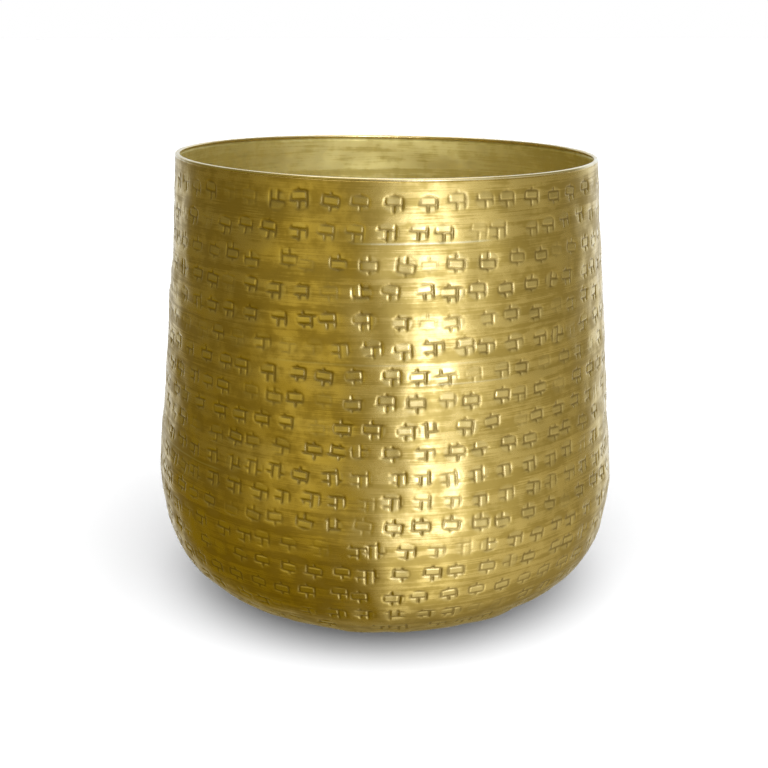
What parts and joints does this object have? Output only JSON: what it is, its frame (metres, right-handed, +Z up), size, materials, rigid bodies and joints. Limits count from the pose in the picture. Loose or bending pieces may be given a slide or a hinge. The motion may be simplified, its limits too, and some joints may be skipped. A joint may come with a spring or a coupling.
{
  "type": "planter pot",
  "caption": "Round brass planter pot with flared hammered walls, a wide rounded bottom, an open mouth with a thin rim ring, and felt pads under its flat base.",
  "frame": {"origin": "centre of the plane that the felt pads stand on, under the middle of the base", "axes": "+Z up along the pot's axis of revolution, out of the mouth; -Y is the side seen in front"},
  "size_m": [0.2314, 0.2314, 0.2185],
  "materials": {
    "satin_brass": "satin brushed brass with stamped marks, slightly darkened in the recesses",
    "rim_brass": "smoother, brighter brass where the edge is burnished",
    "grey_felt": "dense dark grey felt"
  },
  "bodies": {
    "root": {"body_shell": "satin_brass", "rim_ring": "rim_brass", "foot_pad_1": "grey_felt", "foot_pad_2": "grey_felt", "foot_pad_3": "grey_felt", "foot_pad_4": "grey_felt"}
  },
  "joints": []
}
